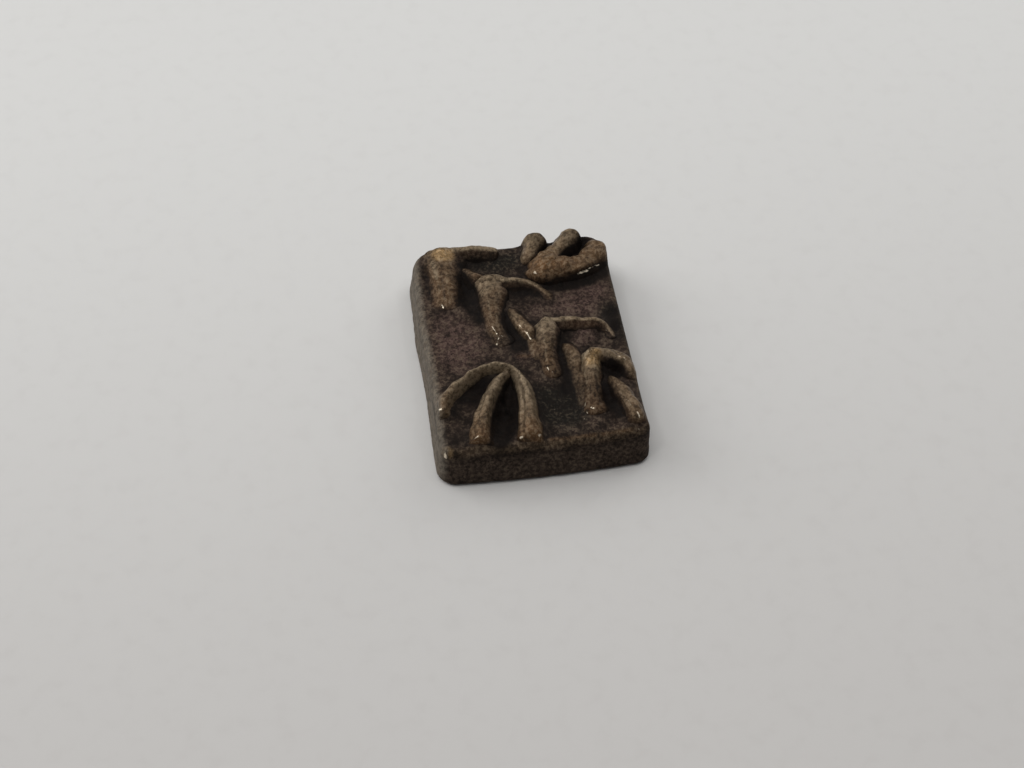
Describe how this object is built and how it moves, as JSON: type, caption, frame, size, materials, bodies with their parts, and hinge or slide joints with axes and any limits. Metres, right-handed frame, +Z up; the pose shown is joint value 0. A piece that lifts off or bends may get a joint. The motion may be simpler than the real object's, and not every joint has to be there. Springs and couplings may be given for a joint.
{
  "type": "geometric gold weight",
  "caption": "Small rectangular cast brass gold weight: a thick slab with rolled edges whose top carries raised bird's-foot threads, laid flat in a balance pan to weigh gold dust.",
  "frame": {"origin": "middle of the slab's flat underside", "axes": "+X along the slab's short side, to the right in the picture; +Y along its long side, away from the viewer; +Z up out of the decorated top"},
  "size_m": [0.021, 0.0282, 0.0064],
  "materials": {
    "slab_brass": "cast, dark brown patina with a fine grain, greenish grey in the hollows",
    "thread_brass": "cast, brown patina worn to dusty tan along the crests"
  },
  "bodies": {
    "root": {"base_slab": "slab_brass", "foot1_leg": "thread_brass", "foot1_arm": "thread_brass", "foot1_spur": "thread_brass", "foot2_leg": "thread_brass", "foot2_arm": "thread_brass", "foot2_spur": "thread_brass", "foot3_leg": "thread_brass", "foot3_arm": "thread_brass", "foot3_spur": "thread_brass", "foot4_leg": "thread_brass", "foot4_arm": "thread_brass", "foot4_spur": "thread_brass", "front_foot_left_toe": "thread_brass", "front_foot_middle_toe": "thread_brass", "front_foot_right_toe": "thread_brass", "back_foot_left_toe": "thread_brass", "back_foot_middle_toe": "thread_brass", "back_foot_right_toe": "thread_brass"}
  },
  "joints": []
}
